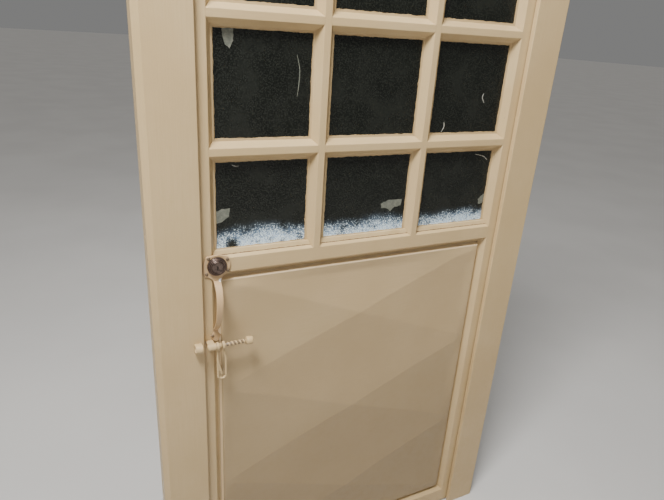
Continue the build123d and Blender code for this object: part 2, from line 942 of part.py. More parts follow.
def leaf_nodes():
    nodes = leaf_members()
    uprights = ("lock_stile", "hinge_stile", "left_upright_bar", "right_upright_bar")
    edges = [nodes[name] for name in uprights]
    for name in ("lock_stile", "middle_rail"):
        nodes[name] = bore_for_case_screws(bore_for_screws(bore_for_lock(nodes[name])), case_screw_places())
    for row, (z0, z1) in enumerate(rows):
        for column, (x0, x1) in enumerate(columns):
            nodes[f"{row_names[row]}_{column_names[column]}_pane"] = pane(x0, x1, z0, z1)
    nodes["putty"] = [putty_ring(x0, x1, z0, z1) for z0, z1 in rows for x0, x1 in columns]
    nodes["low_beads"] = [low_bead(x0, x1, edges) for x0, x1 in columns]
    nodes["pressed_panel"] = pressed_panel()
    nodes["hinge_leaf_halves"] = hinge_halves(-1)
    nodes["pull_handle"] = pull_handle()
    places = handle_screw_places()
    nodes["handle_screws"] = [screw(x, z, -plate_thickness, 1, screw_length) for x, z in places]
    nodes["lock_screws"] = case_screws(case_screw_places())
    nodes["lock_collar"] = collar()
    nodes["lock_cylinder"] = cylinder_body()
    nodes["rim_lock_case"] = rim_lock_case()
    nodes["bolt_sleeve"] = bolt_sleeve()
    return nodes


def moving_nodes():
    return {
        "cylinder_plug": cylinder_plug(),
        "thumb_turn": thumb_turn(),
        "dead_bolt": dead_bolt(),
        "latch_bolt": latch_bolt(),
        "latch_knob": latch_knob(),
        "slide_bolt": slide_bolt(),
        "hanging_link": hanging_link(),
    }


def write(nodes):
    os.makedirs("parts", exist_ok=True)
    for name, shape in nodes.items():
        pieces = shape if isinstance(shape, list) else [shape]
        solids = [solid for piece in pieces for solid in piece.solids()]
        whole = solids[0] if len(solids) == 1 else Compound(children=solids)
        export_step(whole, f"parts/{name}.step")


write({**frame_nodes(), **leaf_nodes(), **moving_nodes()})
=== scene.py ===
"""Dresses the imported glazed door: enamel, patterned glass, creased panel, bronze rose and wound bolt."""

import math

import bmesh
import bpy
import numpy as np
from bpy.props import FloatProperty, FloatVectorProperty, IntProperty, PointerProperty
from mathutils import Matrix, Vector, noise


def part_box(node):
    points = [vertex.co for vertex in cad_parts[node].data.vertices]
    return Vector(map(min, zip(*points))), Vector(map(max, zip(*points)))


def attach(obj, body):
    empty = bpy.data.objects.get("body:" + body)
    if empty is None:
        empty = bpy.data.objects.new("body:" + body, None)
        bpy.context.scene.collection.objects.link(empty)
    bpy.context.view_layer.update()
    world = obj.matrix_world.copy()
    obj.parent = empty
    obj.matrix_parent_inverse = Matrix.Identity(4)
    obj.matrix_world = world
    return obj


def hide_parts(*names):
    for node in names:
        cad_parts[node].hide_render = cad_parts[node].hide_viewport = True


bl_info = {
    "name": "Glazed steel door",
    "version": (1, 0, 0),
    "blender": (4, 5, 0),
    "location": "View3D > Sidebar > Door",
    "description": "Paint, glass and fittings on the packed door, and the stage it stands on",
    "category": "Object",
}

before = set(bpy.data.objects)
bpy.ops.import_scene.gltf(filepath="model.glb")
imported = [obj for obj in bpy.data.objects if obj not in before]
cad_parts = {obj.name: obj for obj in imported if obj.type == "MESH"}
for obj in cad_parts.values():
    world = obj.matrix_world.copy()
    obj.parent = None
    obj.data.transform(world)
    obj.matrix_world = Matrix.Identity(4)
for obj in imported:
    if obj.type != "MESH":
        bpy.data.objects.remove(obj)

UPRIGHT_MEMBERS = (
    "lock_jamb", "hinge_jamb", "lock_stile", "hinge_stile", "left_upright_bar", "right_upright_bar",
)
LEVEL_MEMBERS = ("frame_head", "bottom_rail", "middle_rail", "top_rail")
PAINTED_FITTINGS = ("hinge_leaf_halves", "hinge_frame_halves", "bolt_keeper", "bolt_sleeve")
COLUMNS = ("left", "middle", "right")
ROWS = ("bottom", "second", "third", "top")
CROSS_BARS = 3


# Sizes and colours

def length(title, text, value, high=2.0):
    """A named size in metres."""
    return FloatProperty(
        name=title, description=text, default=value, min=0.0, max=high, unit="LENGTH", precision=5
    )


def share(title, text, value):
    """A number from nothing to all."""
    return FloatProperty(name=title, description=text, default=value, min=0.0, max=1.0, subtype="FACTOR")


def colour(title, text, value):
    """A colour in linear light."""
    return FloatVectorProperty(
        name=title, description=text, default=value, size=3, min=0.0, max=1.0, subtype="COLOR"
    )


def whole(title, text, value, low, high):
    """A named whole number."""
    return IntProperty(name=title, description=text, default=value, min=low, max=high)


def amount(title, text, value, **unit):
    """A named number from nothing up."""
    return FloatProperty(name=title, description=text, default=value, min=0.0, **unit)


def angle(title, text, value):
    """A named turn in radians."""
    return FloatProperty(name=title, description=text, default=value, subtype="ANGLE")


def point(title, text, value):
    """A named point in metres."""
    return FloatVectorProperty(
        name=title, description=text, default=value, size=3, subtype="XYZ", unit="LENGTH"
    )


def direction(title, text, value):
    """A named direction."""
    return FloatVectorProperty(
        name=title, description=text, default=value, size=3, subtype="DIRECTION"
    )


class EnamelSettings(bpy.types.PropertyGroup):
    """Cream paint on the steel"""

    clean: colour("Clean", "Fresh paint on the flats", (0.62, 0.455, 0.24))
    aged: colour("Aged", "Yellowed paint in soft clouds", (0.575, 0.41, 0.205))
    # Painted shade: the panel's two colours are darker copies of the paint above, for the weaker light low
    # on the door.
    sheet_shaded_clean: colour("Panel clean", "Paint on the pressed panel", (0.58, 0.425, 0.23))
    sheet_shaded_aged: colour("Panel aged", "Duller paint on the pressed panel", (0.535, 0.385, 0.2))
    # Painted shade: the paint grows darker toward the foot of the door between the heights below, standing
    # in for light that falls off low down.
    foot_shade: colour("Soiled", "Paint darkened toward the foot of the door", (0.26, 0.185, 0.096))
    foot_shade_full: length("Soil low", "Height where the darkening is full", 0.2)
    foot_shade_end: length("Soil high", "Height where the darkening ends", 1.2)
    foot_shade_wave: length("Soil wave", "How far its height wanders", 0.2)
    # Painted highlight: a lighter band where the panel's top fold catches the light; the two sizes below
    # place it.
    fold: colour("Fold", "Fresh paint on the panel's folded rim", (0.8, 0.62, 0.38))
    fold_highlight_width: length("Fold light", "Width of that fresh paint", 0.0045)
    fold_highlight_deep: length("Fold deep", "Depth behind the panel's front where it starts again", 0.0055)
    # Grime: colour of the painted shade in grooves and corners; the screws and the bolt's core also use it
    # as a darker paint.
    grime_and_shade: colour("Grime", "Dirt that lies in grooves and corners", (0.19, 0.135, 0.08))
    screw: colour("Screws", "Dirty paint on the handle's screws", (0.2, 0.135, 0.08))
    warm: colour("Warm paint", "Pinker paint on the handle", (0.62, 0.43, 0.23))
    warm_aged: colour("Warm aged paint", "Handled places of that paint", (0.56, 0.365, 0.185))
    # Painted shade: dark brown on a thin skin over the bolt's core, seen in the gaps between the turns.
    core: colour("Core", "Dirt between the turns of the bolt's winding", (0.17, 0.11, 0.06))
    speck: colour("Speck", "Small dark spots", (0.05, 0.035, 0.025))
    # Painted highlight: a near-white spot on the handle standing in for a glint; the size below is its
    # radius.
    painted_glint: colour("Bare", "Metal where the paint is rubbed off", (0.95, 0.92, 0.86))
    painted_glint_size: length("Bare size", "Radius of a rubbed place", 0.0058)
    rust: colour("Rust", "Rust along the foot of the beads", (0.21, 0.085, 0.03))
    rust_dark: colour("Dark rust", "Old rust", (0.06, 0.03, 0.018))
    roughness: share("Roughness", "Gloss of the paint", 0.4)
    streak_length: length("Streak length", "Length of one brush mark", 0.085)
    streak_width: length("Streak width", "Width of one brush mark", 0.0022)
    streak_depth: length("Streak depth", "Height of the brush marks", 0.00022)
    peel_size: length("Peel size", "Size of the grain of the paint", 0.0024)
    peel_depth: length("Peel depth", "Height of the grain of the paint", 0.00008)
    edge_radius: length("Edge radius", "How round the paint lies over an edge", 0.0011)
    # Reach of the painted corner shade.
    corner_shade_reach: length("Grime reach", "How far dirt reaches out of a corner", 0.010)


class SheetSettings(bpy.types.PropertyGroup):
    """Pressed panel"""

    flange: length("Flange", "Width of the hidden flange", 0.007)
    setback: length("Setback", "How far the flat lies behind the leaf's front", 0.007)
    seat: length("Seat", "Depth of the flange behind the leaf's front", 0.0195)
    sheet: length("Sheet", "Thickness of the sheet", 0.0015)
    relief: length("Relief", "Depth from a crossing of creases to the middle of a cushion", 0.0095)
    sunk: share("Sunk", "Share of the relief that lies behind the panel's flat edge", 0.45)
    fold: length("Fold", "Radius of the fold at the panel's edge", 0.0025)
    fade: length("Fade", "Width over which the creases run out at the edge", 0.03)
    wave: length("Wave", "Unevenness of the sheet", 0.0003)
    cells: whole("Cells", "Creased fields one above the other", 3, 1, 9)
    steps: whole("Steps", "Mesh steps across one field", 76, 8, 120)


class GlassSettings(bpy.types.PropertyGroup):
    """Patterned glass and what sticks to it"""

    dark: colour("Dark", "Dark room seen through the glass", (0.006, 0.0072, 0.0055))
    dull: colour("Dull", "Greyer places in the glass", (0.019, 0.021, 0.0165))
    glint: colour("Glint", "Sky caught in the pattern", (0.84, 0.97, 1.0))
    haze: colour("Haze", "Light that spreads between the glints", (0.45, 0.68, 1.0))
    dust: colour("Dust", "Dust along the paint", (0.085, 0.078, 0.06))
    film: colour("Old film", "Pale patches on the glass", (0.13, 0.14, 0.11))
    film_light: colour("Light film", "Lighter places in those patches", (0.2, 0.2, 0.16))
    dried: colour("Dried paint", "Thin runs of paint", (0.5, 0.49, 0.43))
    dried_dull: colour("Dull dried paint", "Greyer places in those runs", (0.24, 0.23, 0.2))
    putty: colour("Putty", "Putty behind the panes", (0.36, 0.33, 0.27))
    putty_dull: colour("Dull putty", "Darker places in the putty", (0.22, 0.2, 0.16))
    # Painted shade in the corners of the putty.
    putty_corner_shade: colour("Putty dirt", "Dirt in the corners of the putty", (0.06, 0.05, 0.04))
    pebble: length("Pebble", "Size of one bump of the pattern", 0.0034)
    pebble_depth: length("Pebble depth", "Height of the pattern", 0.0007)
    roughness: share("Roughness", "Gloss of the glass", 0.2)
    shine: share("Shine", "Strength of reflections on the glass", 0.36)
    glint_size: length("Glint size", "Size of one glint", 0.0019)
    glint_low: length("Glints from", "Height above the floor where the glints are close", 1.016)
    glint_high: length("Glints to", "Height above the floor where the last glints are", 1.08)
    shade_in: length("Shade across", "From the lowest left pane's side to the lock's dark shape", 0.036)
    shade_up: length("Shade up", "From that pane's foot to the middle of the shape", 0.006)
    shade_size: length("Shade size", "Radius of the dark shape", 0.024)
    lip_mean: length("Paint edge", "Mean width of the paint that ran onto the glass", 0.0012)
    lip_spread: length("Paint spread", "How far its width wanders", 0.0010)
    lip_thickness: length("Paint thickness", "Thickness of that paint", 0.00035)
    lip_step: length("Paint step", "Distance between its mesh points", 0.002)
    lip_slope: length("Paint slope", "Width of its sloping edge", 0.0003)
    lip_least: length("Least paint", "Narrowest paint edge", 0.0003)
    lip_wave: length("Paint wave", "Length of one wave in the edge", 0.018)
    lip_corner: length("Paint corner", "Even stretch beside a pane's corner", 0.004)
    run_width: length("Run width", "Half the width of a dried run", 0.0012)
    streak_width: length("Streak width", "Half the width of the long streak", 0.0011)
    film_seed: whole("Smear seed", "Which wandering edges the patches draw", 1, 1, 999)
    film_thickness: length("Film thickness", "Thickness of a smear", 0.00018)


class FittingSettings(bpy.types.PropertyGroup):
    """Lock, handle, bolt and link"""

    voxel: length("Grain of castings", "Mesh size of the rounded castings", 0.0007)
    wire_voxel: length("Grain of wire", "Mesh size of the bent wire", 0.0005)
    lump: length("Lump", "Depth of the uneven paint on castings", 0.00028)
    lump_size: length("Lump size", "Size of those lumps", 0.009)
    # Place of the painted highlight, from the rose's lower right.
    glint_across: length("Rubbed place across", "From the rose's right edge to the rubbed place", 0.0135)
    glint_down: length("Rubbed place down", "From the rose's foot to that place", 0.0134)
    bronze: colour("Bronze", "Rubbed bronze of the rose", (0.19, 0.13, 0.105))
    bronze_dull: colour("Dull bronze", "Bronze in the turned hollows", (0.035, 0.025, 0.021))
    brass: colour("Brass", "Pinkish brass of the cylinder", (0.19, 0.14, 0.117))
    brass_dull: colour("Dull brass", "Tarnish on the brass", (0.03, 0.021, 0.017))
    japan: colour("Lock paint", "Dark paint of the rim lock", (0.05, 0.042, 0.036))
    japan_dull: colour("Dull lock paint", "Duller places in that paint", (0.022, 0.019, 0.017))
    steel: colour("Steel", "Bare steel of the bolts", (0.42, 0.41, 0.39))
    steel_dull: colour("Dull steel", "Tarnished steel", (0.22, 0.18, 0.15))
    rose_hole: length("Rose hole", "Radius of the hole for the cylinder", 0.0123)
    rose_rim: length("Rose rim", "Height of the rose at its rim", 0.0036)
    rose_ring: length("Rose ring", "Height of its turned rings", 0.00055)
    rose_rings: whole("Rose rings", "Turned rings on the rose", 3, 1, 9)
    bolt_radius: length("Bolt radius", "Radius of the bolt's plain end", 0.006)
    bolt_bevel: length("Bolt bevel", "Bevel at the bolt's end and shoulders", 0.001)
    core_radius: length("Core radius", "Radius of the bolt inside the winding", 0.0042)
    winding_wire: length("Winding wire", "Radius of the wound wire", 0.00178)
    winding_pitch: length("Winding pitch", "Distance from turn to turn", 0.0088)
    # Thickness of the dark skin that paints shade between the turns.
    shade_skin: length("Dirt skin", "Thickness of the dirt between the turns", 0.0001)
    shank: length("Shank", "Plain length of the bolt from its tip", 0.0345)
    knob_length: length("Knob length", "Length of the bolt's round head", 0.017)
    knob_round: length("Knob round", "Radius of the head's edges", 0.0042)
    screw_height: length("Screw height", "Height of a screw's round head", 0.002)
    slot_width: length("Slot width", "Width of the slot in a screw", 0.0009)
    slot_depth: length("Slot depth", "Depth of the slot in a screw", 0.0009)
    slot_first: angle("First slot", "Turn of the first screw's slot", 0.35)
    slot_turn: angle("Slot turn", "Turn from one slot to the next", 1.17)


class StageSettings(bpy.types.PropertyGroup):
    """Floor, light and camera"""

    camera: point("Camera", "Where the camera stands", (-0.6479, -1.0704, 1.4774))
    forward: direction("Forward", "Where the camera looks", (0.4258, 0.8245, -0.3725))
    right: direction("Right", "The camera's right side", (0.8977, -0.4365, 0.0599))
    lens: amount("Lens", "Focal length", 29.43, unit="CAMERA")
    sensor: amount("Sensor", "Width of the sensor", 36.0, unit="CAMERA")
    floor: colour("Floor", "Pale floor", (0.60, 0.58, 0.55))
    floor_worn: colour("Worn floor", "Slightly darker clouds in the floor", (0.565, 0.545, 0.517))
    floor_size: length("Floor size", "From the middle of the floor to its edge", 60.0, high=200.0)
    floor_drop: length("Floor drop", "Thickness of the floor", 0.02)
    sky: colour("Sky", "Even light from all sides", (0.93, 0.93, 0.92))
    sky_strength: amount("Sky strength", "Strength of the even light", 0.22)
    key: amount("Key", "Power of the lamp above the door", 160.0, unit="POWER")
    key_place: point("Key place", "Where that lamp hangs", (-1.2, -1.0, 3.5))
    key_target: point("Key target", "Where that lamp points", (0.0, 0.0, 0.9))
    key_size: length("Key size", "Side of that lamp", 0.8, high=10.0)
    fill: amount("Fill", "Power of the two wide lamps", 9.0, unit="POWER")
    fill_place: point("Fill place", "Where the lamp in front stands", (-1.1, -2.8, 1.6))
    fill_target: point("Fill target", "Where it points", (0.0, 0.0, 1.0))
    back_place: point("Back place", "Where the lamp behind stands", (0.6, 2.6, 2.6))
    back_target: point("Back target", "Where it points", (0.0, 0.0, 1.1))
    fill_size: length("Fill size", "Side of the two wide lamps", 2.2, high=10.0)
    high: amount("High light", "Even light from high up, for the far floor", 0.7)
    high_place: point("High side", "The side that light comes from", (-0.8, -0.7, 7.0))
    high_angle: angle("High angle", "How wide that light is", 0.5)


# Meshes

def placed(name, data):
    """A new object in the scene."""
    made = bpy.data.objects.new(name, data)
    bpy.context.scene.collection.objects.link(made)
    return made


def add_mesh(name, points, faces, smooth=True):
    """An object from points and faces, with its faces turned outward."""
    mesh = bpy.data.meshes.new(name)
    mesh.from_pydata([tuple(p) for p in points], [], faces)
    shell = bmesh.new()
    shell.from_mesh(mesh)
    bmesh.ops.recalc_face_normals(shell, faces=shell.faces)
    shell.to_mesh(mesh)
    shell.free()
    mesh.polygons.foreach_set("use_smooth", [smooth] * len(mesh.polygons))
    return placed(name, mesh)


def joined(parts):
    """One list of points and faces out of several."""
    points = []
    faces = []
    for more_points, more_faces in parts:
        start = len(points)
        points += more_points
        faces += [tuple(start + i for i in face) for face in more_faces]
    return points, faces


def ring_faces(rings, around, closed=False):
    """Faces between rings of points, with both ends filled unless the rings close on themselves."""
    faces = []
    last = rings if closed else rings - 1
    for k in range(last):
        a = k * around
        b = ((k + 1) % rings) * around
        for i in range(around):
            j = (i + 1) % around
            faces.append((a + i, a + j, b + j, b + i))
    if not closed:
        faces.append(tuple(range(around)))
        faces.append(tuple(reversed(range((rings - 1) * around, rings * around))))
    return faces


def lathe(profile, centre, axis, around, closed=False):
    """A turned body: profile holds (distance along the axis, radius)."""
    along = Vector((1, 0, 0)) if axis == "x" else Vector((0, 1, 0))
    side = Vector((0, 1, 0)) if axis == "x" else Vector((1, 0, 0))
    up = Vector((0, 0, 1))
    points = []
    for distance, radius in profile:
        for i in range(around):
            turn = 2 * math.pi * i / around
            spoke = side * math.cos(turn) + up * math.sin(turn)
            points.append(centre + along * distance + spoke * radius)
    return points, ring_faces(len(profile), around, closed)


def sweep(path, radii, normal, around, flatness=1.0):
    """A wire along a path, its section carried along without twist."""
    points = []
    side = Vector(normal)
    for k, place in enumerate(path):
        ahead = (path[min(k + 1, len(path) - 1)] - path[max(k - 1, 0)]).normalized()
        side = (side - ahead * side.dot(ahead)).normalized()
        other = ahead.cross(side)
        for i in range(around):
            turn = 2 * math.pi * i / around
            offset = side * math.cos(turn) * flatness + other * math.sin(turn)
            points.append(place + offset * radii[k])
    return points, ring_faces(len(path), around)


def eased(path, steps=6):
    """A smooth line through the points of a path."""
    line = []
    for k in range(len(path) - 1):
        before = path[max(k - 1, 0)]
        here = path[k]
        there = path[k + 1]
        after = path[min(k + 2, len(path) - 1)]
        pull = there - before
        bend = 2 * before - 5 * here + 4 * there - after
        twist = 3 * here - before - 3 * there + after
        for i in range(steps):
            t = i / steps
            line.append(0.5 * (2 * here + pull * t + bend * t * t + twist * t ** 3))
    return line + [path[-1]]


def solids_of(node):
    """The corners of each separate solid in a CAD node."""
    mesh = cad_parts[node].data
    keys = [tuple(round(c, 6) for c in v.co) for v in mesh.vertices]
    owner = {key: key for key in keys}

    def root(key):
        while owner[key] != key:
            key = owner[key]
        return key

    for face in mesh.polygons:
        first = root(keys[face.vertices[0]])
        for index in face.vertices[1:]:
            owner[root(keys[index])] = first
    groups = {}
    for key in keys:
        groups.setdefault(root(key), []).append(key)
    return [(Vector(np.min(g, axis=0)), Vector(np.max(g, axis=0))) for g in groups.values()]


def dress(piece, material, slot, body, *stands_for):
    """Gives a made piece its finish, its body and the CAD nodes it stands for."""
    piece.data.materials.append(material)
    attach(piece, body)
    if stands_for:
        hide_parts(*stands_for)
    return piece


def paint_node(node, material):
    """Puts a material on a CAD node."""
    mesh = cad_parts[node].data
    mesh.materials.clear()
    mesh.materials.append(material)


# Shader nodes

class Paintbox:
    """One material's nodes. Every texture is laid out in metres on the piece itself."""

    def __init__(self, name, metallic=0.0):
        self.material = bpy.data.materials.new(name)
        self.material.use_nodes = True
        self.tree = self.material.node_tree
        self.surface = self.tree.nodes["Principled BSDF"]
        self.surface.inputs["Metallic"].default_value = metallic
        self.place = self.node("ShaderNodeTexCoord", {}).outputs["Object"]
        self.normal = None

    def node(self, kind, inputs, **settings):
        """A new node, with its settings and what goes into it."""
        made = self.tree.nodes.new(kind)
        for name, value in settings.items():
            setattr(made, name, value)
        for name, value in inputs.items():
            self.feed(made.inputs[name], value)
        return made

    def feed(self, socket, value):
        """Links another node's output to a socket, or sets the socket to a number or colour."""
        if isinstance(value, bpy.types.NodeSocket):
            self.tree.links.new(value, socket)
        elif socket.type == "RGBA":
            socket.default_value = (*value, 1.0)
        else:
            socket.default_value = value

    def stretched(self, scale):
        return self.node("ShaderNodeMapping", {"Vector": self.place, "Scale": scale}).outputs["Vector"]

    def height(self, axis):
        return self.node("ShaderNodeSeparateXYZ", {"Vector": self.place}).outputs[axis]

    def noise(self, scale, detail=3.0, roughness=0.5, place=None):
        place = place or self.place
        inputs = {"Vector": place, "Scale": scale, "Detail": detail, "Roughness": roughness}
        return self.node("ShaderNodeTexNoise", inputs).outputs["Fac"]

    def cells(self, scale, feature="F1"):
        inputs = {"Vector": self.place, "Scale": scale}
        made = self.node("ShaderNodeTexVoronoi", inputs, feature=feature)
        return made.outputs["Distance"], made.outputs["Color"]

    def band(self, value, low, high, start=0.0, end=1.0):
        inputs = {"Value": value, "From Min": low, "From Max": high, "To Min": start, "To Max": end}
        made = self.node("ShaderNodeMapRange", inputs, interpolation_type="SMOOTHSTEP")
        return made.outputs["Result"]

    def math(self, operation, first, second):
        return self.node("ShaderNodeMath", {0: first, 1: second}, operation=operation).outputs["Value"]

    def times(self, first, second):
        return self.math("MULTIPLY", first, second)

    def blend(self, weight, first, second):
        return self.node("ShaderNodeMix", {0: weight, 6: first, 7: second}, data_type="RGBA").outputs[2]

    def corners(self, reach, samples=6, shut=0.3, open_air=0.92):
        """1 deep in a corner, 0 in the open."""
        made = self.node("ShaderNodeAmbientOcclusion", {"Distance": reach}, samples=samples)
        return self.band(made.outputs["AO"], shut, open_air, 1.0, 0.0)

    def gap(self, place):
        """Distance from a place on the piece."""
        made = self.node("ShaderNodeVectorMath", {0: self.place, 1: place}, operation="DISTANCE")
        return made.outputs["Value"]

    def near(self, place, radius):
        """1 at a place on the piece, 0 beyond a radius, with a ragged edge."""
        shake = self.times(self.noise(500.0), radius * 0.6)
        ragged = self.math("ADD", self.gap(place), shake)
        return self.band(ragged, radius * 0.9, radius * 1.3, 1.0, 0.0)

    def edges(self, radius, samples=4):
        """Rounds sharp edges in the shading."""
        self.normal = self.node("ShaderNodeBevel", {"Radius": radius}, samples=samples).outputs["Normal"]

    def relief(self, height, depth):
        """Raises the surface in the shading."""
        inputs = {"Distance": depth, "Height": height}
        if self.normal:
            inputs["Normal"] = self.normal
        self.normal = self.node("ShaderNodeBump", inputs).outputs["Normal"]

    def chance(self, tint):
        """A random number for each cell, out of its colour."""
        return self.node("ShaderNodeSeparateColor", {"Color": tint}).outputs["Red"]

    def specks(self, scale, size, chosen):
        """Scattered round spots: 1 on a spot."""
        distance, tint = self.cells(scale)
        near = self.band(distance, size * 0.6, size, 1.0, 0.0)
        return self.times(near, self.band(self.chance(tint), chosen, chosen + 0.01))

    def finish(self, base, roughness):
        """The material with its colour, roughness and relief."""
        self.feed(self.surface.inputs["Base Color"], base)
        self.feed(self.surface.inputs["Roughness"], roughness)
        if self.normal:
            self.feed(self.surface.inputs["Normal"], self.normal)
        return self.material


def enamel(name, along, clean, aged, corner_shade=0.28, foot_shade_share=0.3, painted_glint=None, reach=None, fold=None):
    """Brushed cream paint whose marks run along one axis, with painted shade that darkens it low down and
    in its corners.
    """
    s = bpy.context.scene.door_enamel
    paint = Paintbox(name)
    fine = 1 / s.streak_width
    long = 1 / s.streak_length
    scale = (long, fine, fine) if along == "x" else (fine, fine, long)
    streaks = paint.noise(1.0, 2.5, 0.6, paint.stretched(scale))
    clouds = paint.band(paint.noise(5.0, 3.0, 0.5), 0.3, 0.7)
    blotches = paint.band(paint.noise(46.0, 4.0, 0.65), 0.56, 0.78, 0.0, 0.6)
    patchy = paint.band(paint.noise(75.0, 3.0), 0.2, 0.6, 0.45, 1.0)
    # Painted shade: an ambient-occlusion mask, broken up by noise, darkens grooves and corners.
    grime_and_shade = paint.times(paint.corners(reach or s.corner_shade_reach), patchy)
    base = paint.blend(clouds, clean, aged)
    base = paint.blend(paint.band(streaks, 0.36, 0.68, 0.0, 0.5), base, aged)
    base = paint.blend(blotches, base, aged)
    # Painted shade: darker toward the foot of the door, along a wandering line.
    level = paint.math("ADD", paint.height("Z"), paint.times(paint.noise(4.0), s.foot_shade_wave))
    base = paint.blend(paint.band(level, s.foot_shade_full, s.foot_shade_end, foot_shade_share, 0.0), base, s.foot_shade)
    # The painted corner shade is blended in toward the grime colour.
    base = paint.blend(paint.times(grime_and_shade, corner_shade), base, s.grime_and_shade)
    base = paint.blend(paint.specks(scale=26.0, size=0.022, chosen=0.86), base, s.speck)
    # Painted highlight: a near-white spot with a ragged edge.
    if painted_glint:
        base = paint.blend(paint.near(painted_glint, s.painted_glint_size), base, s.painted_glint)
    # Painted highlight along the panel's top fold.
    if fold:
        front, top = fold
        start = front + s.fold_highlight_deep
        deep = paint.band(paint.height("Y"), start, start + s.fold_highlight_width / 2)
        high = paint.band(paint.height("Z"), top - s.fold_highlight_width, top - s.fold_highlight_width / 2)
        base = paint.blend(paint.math("MAXIMUM", deep, high), base, s.fold)
    paint.edges(s.edge_radius)
    paint.relief(streaks, s.streak_depth)
    paint.relief(paint.noise(1 / s.peel_size, 2.0), s.peel_depth)
    gloss = paint.band(paint.noise(60.0, 3.0), 0.3, 0.7, s.roughness - 0.08, s.roughness + 0.12)
    return paint.finish(base, gloss)


def metal(name, bright, dull, roughness, along="x", metallic=1.0, edge=0.0004, reach=0.003, turned=None):
    """Worn metal: brighter where it is open and rubbed, duller in its corners and turned hollows."""
    paint = Paintbox(name, metallic)
    fine = 900.0
    long = 14.0
    scale = (long, fine, fine) if along == "x" else (fine, fine, long)
    brushed = paint.noise(1.0, 2.0, 0.5, paint.stretched(scale))
    tarnish = paint.band(paint.noise(130.0, 5.0, 0.65), 0.42, 0.72)
    base = paint.blend(paint.times(tarnish, 0.7), bright, dull)
    base = paint.blend(paint.corners(reach), base, dull)
    if turned:
        middle, first, pitch = turned
        from_first = paint.math("SUBTRACT", paint.gap(middle), first)
        rings = paint.math("DIVIDE", from_first, pitch / (2 * math.pi))
        base = paint.blend(paint.band(paint.math("COSINE", rings, 0.0), -0.6, 0.6, 0.8, 0.0), base, dull)
    paint.edges(edge)
    paint.relief(brushed, 0.00003)
    paint.relief(paint.noise(260.0, 4.0), 0.00008)
    return paint.finish(base, paint.band(tarnish, 0.0, 1.0, roughness, min(1.0, roughness + 0.2)))


def patterned_glass():
    """Dark pebbled glass with glints along its foot, dust beside the paint and the lock's shape."""
    s = bpy.context.scene.door_glass
    paint = Paintbox("patterned_glass")
    pebbles, _ = paint.cells(1 / s.pebble, "SMOOTH_F1")
    fine = paint.noise(1 / (s.pebble * 0.4), 3.0)
    cloud = paint.band(paint.noise(16.0, 4.0, 0.6), 0.35, 0.75)
    base = paint.blend(paint.band(pebbles, 0.15, 0.5), s.dull, s.dark)
    base = paint.blend(paint.times(cloud, 0.5), base, s.dull)
    edge = paint.times(paint.corners(0.016), paint.band(paint.noise(120.0, 4.0), 0.35, 0.7))
    base = paint.blend(paint.times(edge, 0.6), base, s.dust)
    wander = 0.045
    middle = 0.022
    shaken = paint.times(paint.noise(9.0, 2.0), wander)
    level = paint.math("SUBTRACT", paint.math("ADD", paint.height("Z"), middle), shaken)
    crowd = paint.band(level, s.glint_low, s.glint_high, 1.0, 0.0)
    crowd = paint.times(crowd, paint.band(paint.noise(38.0, 3.0, 0.6), 0.3, 0.5, 0.5, 1.0))
    left, _, foot, _ = aperture(0, 0)
    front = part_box("bottom_left_pane")[0].y
    lock = paint.gap(Vector((left + s.shade_in, front, foot + s.shade_up)))
    crowd = paint.times(crowd, paint.band(lock, 0.2 * s.shade_size, s.shade_size, 0.15, 1.0))
    grain = paint.band(paint.noise(650.0, 3.0, 0.7), 0.35, 0.6, 0.35, 1.0)
    haze = paint.times(paint.math("POWER", crowd, 2.0), grain)
    base = paint.blend(haze, base, s.haze)
    spread, tint = paint.cells(1 / s.glint_size)
    lit = paint.band(paint.math("SUBTRACT", crowd, paint.chance(tint)), 0.0, 0.45)
    glints = paint.times(lit, paint.band(spread, 0.35, 0.8, 1.0, 0.45))
    base = paint.blend(glints, base, s.glint)
    paint.surface.inputs["Specular IOR Level"].default_value = s.shine
    paint.relief(pebbles, s.pebble_depth)
    paint.relief(fine, s.pebble_depth * 0.3)
    return paint.finish(base, paint.band(cloud, 0.0, 1.0, s.roughness, s.roughness + 0.12))


def film(name, base, other, roughness):
    """Thin smear of old paint or dried cleaner."""
    paint = Paintbox(name)
    tone = paint.blend(paint.band(paint.noise(150.0, 4.0, 0.65), 0.4, 0.65), base, other)
    paint.relief(paint.noise(500.0, 3.0), 0.00015)
    return paint.finish(tone, paint.band(paint.noise(90.0), 0.3, 0.7, roughness, roughness + 0.2))


def putty_finish():
    """Hard grey putty with finger marks."""
    s = bpy.context.scene.door_glass
    paint = Paintbox("putty_finish")
    tone = paint.blend(paint.band(paint.noise(40.0, 4.0), 0.35, 0.7), s.putty, s.putty_dull)
    # Painted shade: the occlusion mask darkens the putty in its corners.
    tone = paint.blend(paint.corners(0.006), tone, s.putty_corner_shade)
    paint.relief(paint.noise(90.0, 4.0), 0.0006)
    return paint.finish(tone, paint.band(paint.noise(70.0), 0.3, 0.7, 0.6, 0.85))


def bead_finish(foot):
    """Cream bead with a rust line where water stands along its foot."""
    s = bpy.context.scene.door_enamel
    paint = Paintbox("bead_finish")
    ragged = paint.times(paint.noise(180.0, 4.0, 0.65), 0.0034)
    level = paint.math("SUBTRACT", paint.height("Z"), ragged)
    rust = paint.band(level, foot - 0.0012, foot + 0.0004, 1.0, 0.0)
    tone = paint.blend(paint.band(paint.noise(35.0, 4.0), 0.35, 0.7), s.clean, s.aged)
    brown = paint.blend(paint.band(paint.noise(420.0, 3.0), 0.4, 0.6), s.rust, s.rust_dark)
    tone = paint.blend(rust, tone, brown)
    paint.edges(s.edge_radius)
    paint.relief(paint.noise(300.0, 4.0), 0.0002)
    return paint.finish(tone, paint.band(rust, 0.0, 1.0, s.roughness, 0.85))


# Castings and bent wire: the CAD body rounded as a thickly painted casting is

